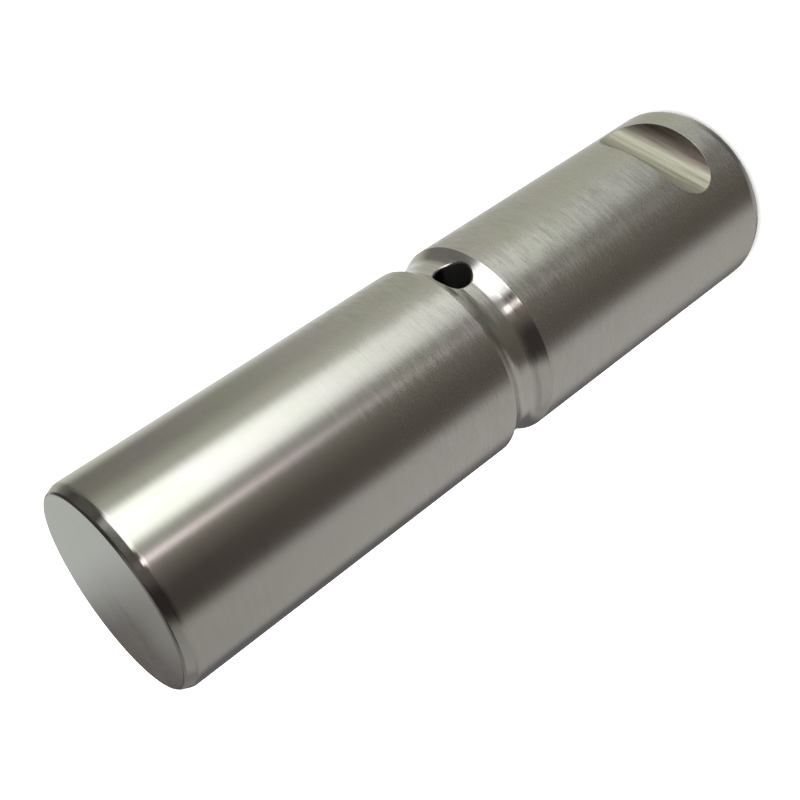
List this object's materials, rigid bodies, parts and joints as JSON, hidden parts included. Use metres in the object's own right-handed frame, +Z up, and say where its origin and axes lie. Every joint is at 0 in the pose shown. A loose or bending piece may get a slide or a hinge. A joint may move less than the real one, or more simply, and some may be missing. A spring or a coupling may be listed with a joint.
{
  "type": "suspension pin",
  "caption": "Plain round steel pivot pin with a shallow grease waist and cross hole at mid length, a locking groove across one side near one end, and lead-in cones.",
  "frame": {"origin": "centre of the end face beside the locking groove, on the pin's axis", "axes": "+Z up the pin's axis towards the plain end, -Y the side that the locking groove is cut in"},
  "size_m": [0.02, 0.02, 0.075],
  "materials": {
    "turned_steel": "fine turned and polished, satin, with faint lines round the pin"
  },
  "bodies": {
    "root": {"suspension_pin": "turned_steel"}
  },
  "joints": []
}
